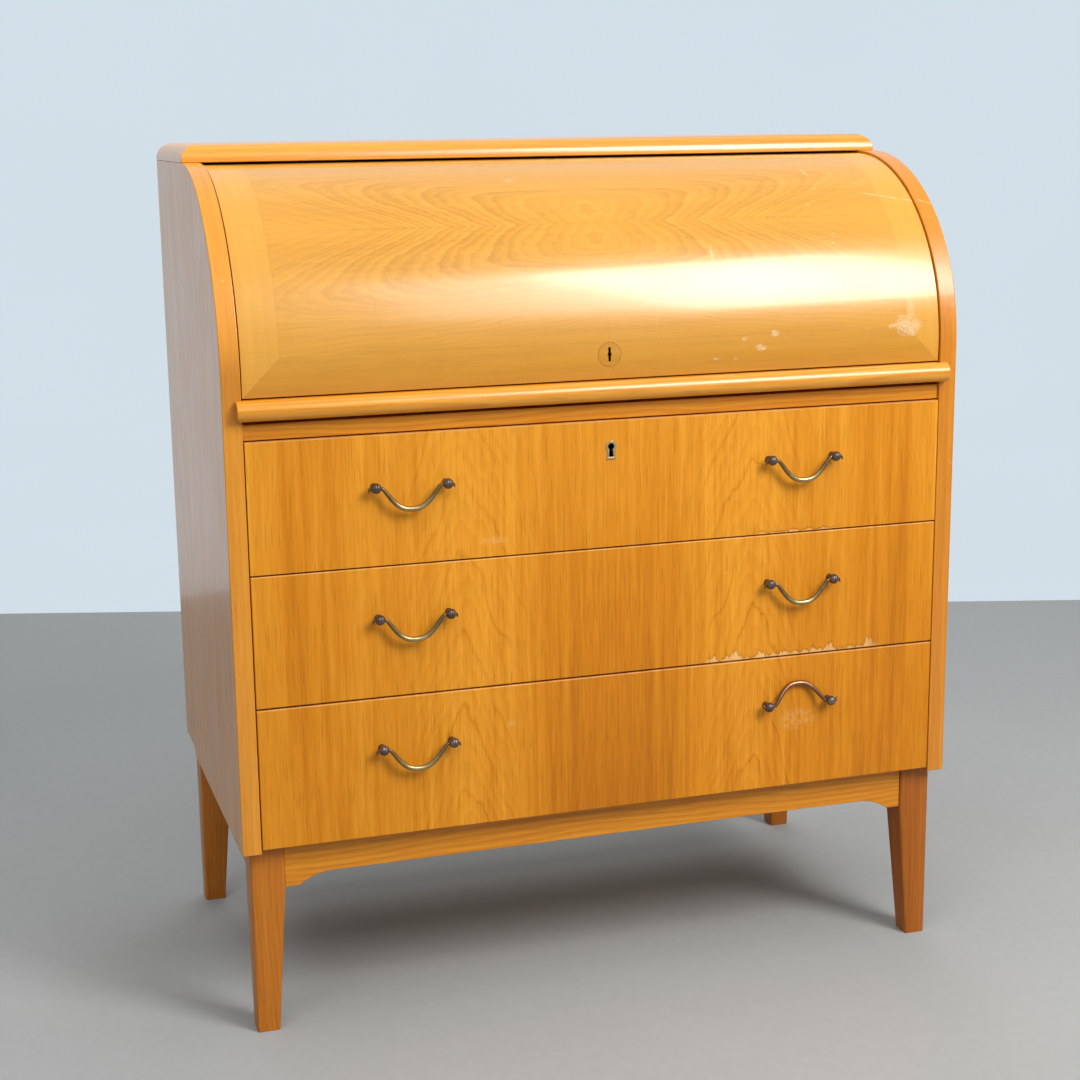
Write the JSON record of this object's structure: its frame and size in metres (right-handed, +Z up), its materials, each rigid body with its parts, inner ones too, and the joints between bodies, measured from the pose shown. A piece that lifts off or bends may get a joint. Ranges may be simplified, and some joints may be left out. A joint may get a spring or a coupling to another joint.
{
  "type": "roll top secretary desk",
  "caption": "Veneered secretary desk with a rigid curved cylinder fall linked to a pull-out writing leaf, drawers with brass bail handles below, on tapered legs.",
  "frame": {"origin": "on the floor, in the middle of the bounding box seen from above", "axes": "+X to the right seen from the front, +Y from the drawer fronts to the back, +Z up"},
  "size_m": [0.9, 0.4821, 1.025],
  "materials": {
    "veneer": "satin lacquered veneer",
    "inner_wood": "planed, unfinished",
    "plywood": "sanded plywood",
    "brass": "aged brass",
    "steel": "plain steel"
  },
  "bodies": {
    "case": {"left_side_panel": "veneer", "right_side_panel": "veneer", "top_board": "veneer", "bottom_panel": "inner_wood", "back_panel": "plywood", "front_rail": "veneer", "dust_panel": "plywood", "leaf_runners": "inner_wood", "drawer_runners": "inner_wood", "front_left_leg": "veneer", "front_right_leg": "veneer", "back_left_leg": "veneer", "back_right_leg": "veneer", "front_apron": "veneer", "back_apron": "veneer", "left_apron": "veneer", "right_apron": "veneer", "corner_blocks": "inner_wood", "fitting_floor": "veneer", "left_fitting_end": "veneer", "right_fitting_end": "veneer", "fitting_shelves": "veneer", "fitting_dividers": "veneer", "fitting_back": "plywood", "cylinder_pivot_pins": "steel", "rocker_studs": "steel"},
    "leaf": {"leaf_board": "veneer", "leaf_moulding": "veneer", "leaf_forks": "steel"},
    "cylinder": {"cylinder_shell": "veneer", "keyhole_disc": "veneer", "left_cylinder_cheek": "inner_wood", "right_cylinder_cheek": "inner_wood", "cylinder_rail": "inner_wood", "cylinder_lock": "steel"},
    "rockers": {"left_rocker": "steel", "right_rocker": "steel"},
    "drawer_1": {"drawer_1_front": "veneer", "drawer_1_box": "inner_wood", "drawer_1_bottom": "plywood", "drawer_1_handle_posts": "brass", "drawer_lock": "steel", "drawer_escutcheon": "brass"},
    "drawer_1_left_bail": {"drawer_1_left_bail": "brass"},
    "drawer_1_right_bail": {"drawer_1_right_bail": "brass"},
    "drawer_2": {"drawer_2_front": "veneer", "drawer_2_box": "inner_wood", "drawer_2_bottom": "plywood", "drawer_2_handle_posts": "brass"},
    "drawer_2_left_bail": {"drawer_2_left_bail": "brass"},
    "drawer_2_right_bail": {"drawer_2_right_bail": "brass"},
    "drawer_3": {"drawer_3_front": "veneer", "drawer_3_box": "inner_wood", "drawer_3_bottom": "plywood", "drawer_3_handle_posts": "brass"},
    "drawer_3_left_bail": {"drawer_3_left_bail": "brass"},
    "drawer_3_right_bail": {"drawer_3_right_bail": "brass"},
    "small_drawer_left": {"small_drawer_left": "veneer"},
    "small_drawer_right": {"small_drawer_right": "veneer"}
  },
  "joints": [
    {"name": "leaf_slide", "type": "slide", "parent": "case", "child": "leaf", "axis": [0, -1, 0], "range_m": [0, 0.14895]},
    {"name": "cylinder_turn", "type": "hinge", "parent": "case", "child": "cylinder", "pos_m": [0, 0.00705, 0.774], "axis": [-1, 0, 0], "range_deg": [0, 75]},
    {"name": "rocker_turn", "type": "hinge", "parent": "case", "child": "rockers", "pos_m": [0, 0.00705, 0.852], "axis": [-1, 0, 0], "range_deg": [0, 120]},
    {"name": "drawer_1_slide", "type": "slide", "parent": "case", "child": "drawer_1", "axis": [0, -1, 0], "range_m": [0, 0.3]},
    {"name": "drawer_1_left_bail_swing", "type": "hinge", "parent": "drawer_1", "child": "drawer_1_left_bail", "pos_m": [-0.2425, -0.23495, 0.6475], "axis": [-1, 0, 0], "range_deg": [-19, 199]},
    {"name": "drawer_1_right_bail_swing", "type": "hinge", "parent": "drawer_1", "child": "drawer_1_right_bail", "pos_m": [0.2425, -0.23495, 0.6475], "axis": [-1, 0, 0], "range_deg": [-19, 199]},
    {"name": "drawer_2_slide", "type": "slide", "parent": "case", "child": "drawer_2", "axis": [0, -1, 0], "range_m": [0, 0.3]},
    {"name": "drawer_2_left_bail_swing", "type": "hinge", "parent": "drawer_2", "child": "drawer_2_left_bail", "pos_m": [-0.2425, -0.23495, 0.4955], "axis": [-1, 0, 0], "range_deg": [-19, 199]},
    {"name": "drawer_2_right_bail_swing", "type": "hinge", "parent": "drawer_2", "child": "drawer_2_right_bail", "pos_m": [0.2425, -0.23495, 0.4955], "axis": [-1, 0, 0], "range_deg": [-19, 199]},
    {"name": "drawer_3_slide", "type": "slide", "parent": "case", "child": "drawer_3", "axis": [0, -1, 0], "range_m": [0, 0.3]},
    {"name": "drawer_3_left_bail_swing", "type": "hinge", "parent": "drawer_3", "child": "drawer_3_left_bail", "pos_m": [-0.2425, -0.23495, 0.3405], "axis": [-1, 0, 0], "range_deg": [-19, 199]},
    {"name": "drawer_3_right_bail_swing", "type": "hinge", "parent": "drawer_3", "child": "drawer_3_right_bail", "pos_m": [0.2425, -0.23495, 0.3405], "axis": [-1, 0, 0], "range_deg": [-218, 0]},
    {"name": "small_drawer_left_slide", "type": "slide", "parent": "case", "child": "small_drawer_left", "axis": [0, -1, 0], "range_m": [0, 0.08]},
    {"name": "small_drawer_right_slide", "type": "slide", "parent": "case", "child": "small_drawer_right", "axis": [0, -1, 0], "range_m": [0, 0.08]}
  ],
  "couplings": [
    {"joint": "cylinder_turn", "follows": "leaf_slide", "rad_per_m": 8.7878},
    {"joint": "rocker_turn", "follows": "leaf_slide", "rad_per_m": 14.06}
  ]
}
